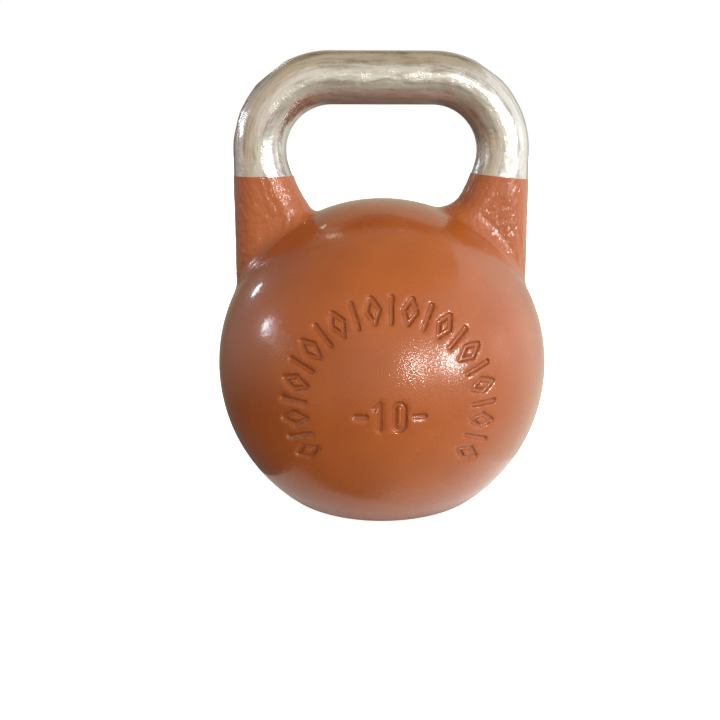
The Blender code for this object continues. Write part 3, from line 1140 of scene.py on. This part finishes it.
def make_world():
    """A white surround for the camera; the bell itself sees a warm room, lighter at the right."""
    world = bpy.data.worlds.new("studio")
    bpy.context.scene.world = world
    world.use_nodes = True
    n = Nodes(world.node_tree)
    n.tree.nodes.clear()
    across, back, height = n.split(n.add("ShaderNodeTexCoord", {}).outputs["Generated"])
    turn = n.math("ARCTAN2", across, n.math("MULTIPLY", back, -1.0))
    walls = n.colours_round(turn, WALLS)
    ground = n.colours_round(turn, GROUND)
    room = n.mix(n.ranged(height, *WALL_TO_GROUND), walls, ground)
    room = n.mix(n.ranged(height, *WALL_TO_CEILING), room, colour(*CEILING))
    behind = n.ranged(n.math("ABSOLUTE", turn, 0.0), *LINTEL_TURN)
    bottom = n.ranged(height, *LINTEL_BOTTOM)
    lintel = n.math("MULTIPLY", bottom, n.ranged(height, *LINTEL_TOP))
    room = n.mix(n.math("MULTIPLY", behind, lintel), room, colour(*LINTEL))
    seen = n.add("ShaderNodeBackground", {"Color": room, "Strength": ROOM_LIGHT})
    white = n.add("ShaderNodeBackground", {"Color": colour(1.0, 1.0, 1.0), "Strength": 1.0})
    by_camera = n.add("ShaderNodeLightPath", {}).outputs["Is Camera Ray"]
    both = n.add("ShaderNodeMixShader", {0: by_camera, 1: seen.outputs[0], 2: white.outputs[0]})
    n.add("ShaderNodeOutputWorld", {"Surface": both.outputs[0]})


def sheet(name, outline, height, material):
    """A level face with the given outline, as part of the stage."""
    mesh = bpy.data.meshes.new(name)
    mesh.from_pydata([(x, y, height) for x, y in outline], [], [range(len(outline))])
    mesh.materials.append(material)
    obj = add_object(name, mesh)
    return obj


def floor_material():
    """White, with a glow of its own, so that no shadow or edge shows on it."""
    s = Shader("pale_floor")
    grain = s.noise(s.place(), 0.02, 3.0)
    tone = s.mix(s.ranged(grain, 0.4, 0.6), *FLOOR_TONES)
    s.set(Base_Color=tone, Roughness=0.8)
    s.set(Emission_Color=colour(1.0, 0.98, 0.96), Emission_Strength=FLOOR_GLOW)
    return s.material


def mat_material():
    """Grey, glowing more towards the right, and darker in a ring round the bell's foot."""
    s = Shader("pale_mat")
    where = s.place()
    grain = s.noise(where, 0.01, 3.0)
    tone = s.mix(s.ranged(grain, 0.4, 0.6), *MAT_TONES)
    across, back, _ = s.split(where)
    glow = s.ranged(across, MAT[0], MAT[1], *MAT_GLOW)
    across_squared = s.math("MULTIPLY", across, across)
    back_squared = s.math("MULTIPLY", back, back)
    out = s.math("SQRT", s.math("ADD", across_squared, back_squared), 0.0)
    shaded = s.ranged(out, FOOT_RADIUS, FOOT_RADIUS + MAT_SHADE, MAT_SHADED, 1.0)
    strength = s.math("MULTIPLY", glow, shaded)
    s.set(Base_Color=tone, Roughness=0.8)
    s.set(Emission_Color=colour(1.0, 0.97, 0.94), Emission_Strength=strength)
    return s.material


def make_stage():
    """A wide pale floor that only the camera sees, and a mat that only shows mirrored in the
    bell."""
    left, right, back, front_left, front_right = MAT
    outline = [
        (left, back),
        (left, -front_left),
        (right - MAT_CORNER, -front_right),
        (right, MAT_CORNER - front_right),
        (right, back),
    ]
    mat = sheet("mat", outline, MAT_Z, mat_material())
    mat.visible_camera = False
    mat.visible_diffuse = False
    corners = [(FLOOR_HALF * x, FLOOR_HALF * y) for x, y in ((-1, -1), (1, -1), (1, 1), (-1, 1))]
    wide = sheet("floor", corners, FLOOR_Z, floor_material())
    wide.visible_shadow = False
    wide.visible_glossy = False
    wide.visible_diffuse = False


def make_camera():
    data = bpy.data.cameras.new("camera")
    data.sensor_width = 36.0
    data.lens = CAMERA_LENS
    data.shift_x, data.shift_y = CAMERA_SHIFT
    camera = bpy.data.objects.new("camera", data)
    bpy.context.scene.collection.objects.link(camera)
    away = direction(math.degrees(CAMERA_TURN), math.degrees(CAMERA_ELEVATION))
    camera.location = Vector((0.0, 0.0, BALL_Z)) + CAMERA_DISTANCE * away
    ahead = Vector((0.0, 0.0, CAMERA_AIM)) - camera.location
    camera.rotation_euler = ahead.to_track_quat("-Z", "Y").to_euler()
    bpy.context.scene.camera = camera


def main():
    """Makes the stage, lights and pieces, hides the CAD solids they replace, and gives the rest
    materials.
    """
    make_camera()
    make_world()
    make_stage()
    for name, *light in SOFTBOXES:
        lamp = softbox(name, *light)
        lamp.visible_glossy = name not in NO_GLOSS
        lamp.visible_diffuse = name not in GLINTS
    bpy.context.scene.view_settings.view_transform = "Standard"
    casting = make_casting()
    give_material(casting, paint_material())
    steel = steel_material("ground_steel")
    weld = steel_material("ground_weld")
    handle = make_handle()
    give_material(handle, steel)
    pieces = [(casting, "ball_shell", "body_paint"), (handle, "handle_bar", "bare_steel")]
    for hand, side in (("left", -1), ("right", 1)):
        piece = make_weld("weld_" + hand, side)
        give_material(piece, weld)
        pieces.append((piece, "weld_seam_" + hand, "weld_steel"))
    for piece, node, slot in pieces:
        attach(piece, "root")
        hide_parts(node)
    for node, material in (
        ("filler_plug", plated_material()),
        ("plug_seal", rubber_material()),
        ("ballast_fill", shot_material()),
    ):
        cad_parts[node].data.materials.clear()
        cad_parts[node].data.materials.append(material)


main()
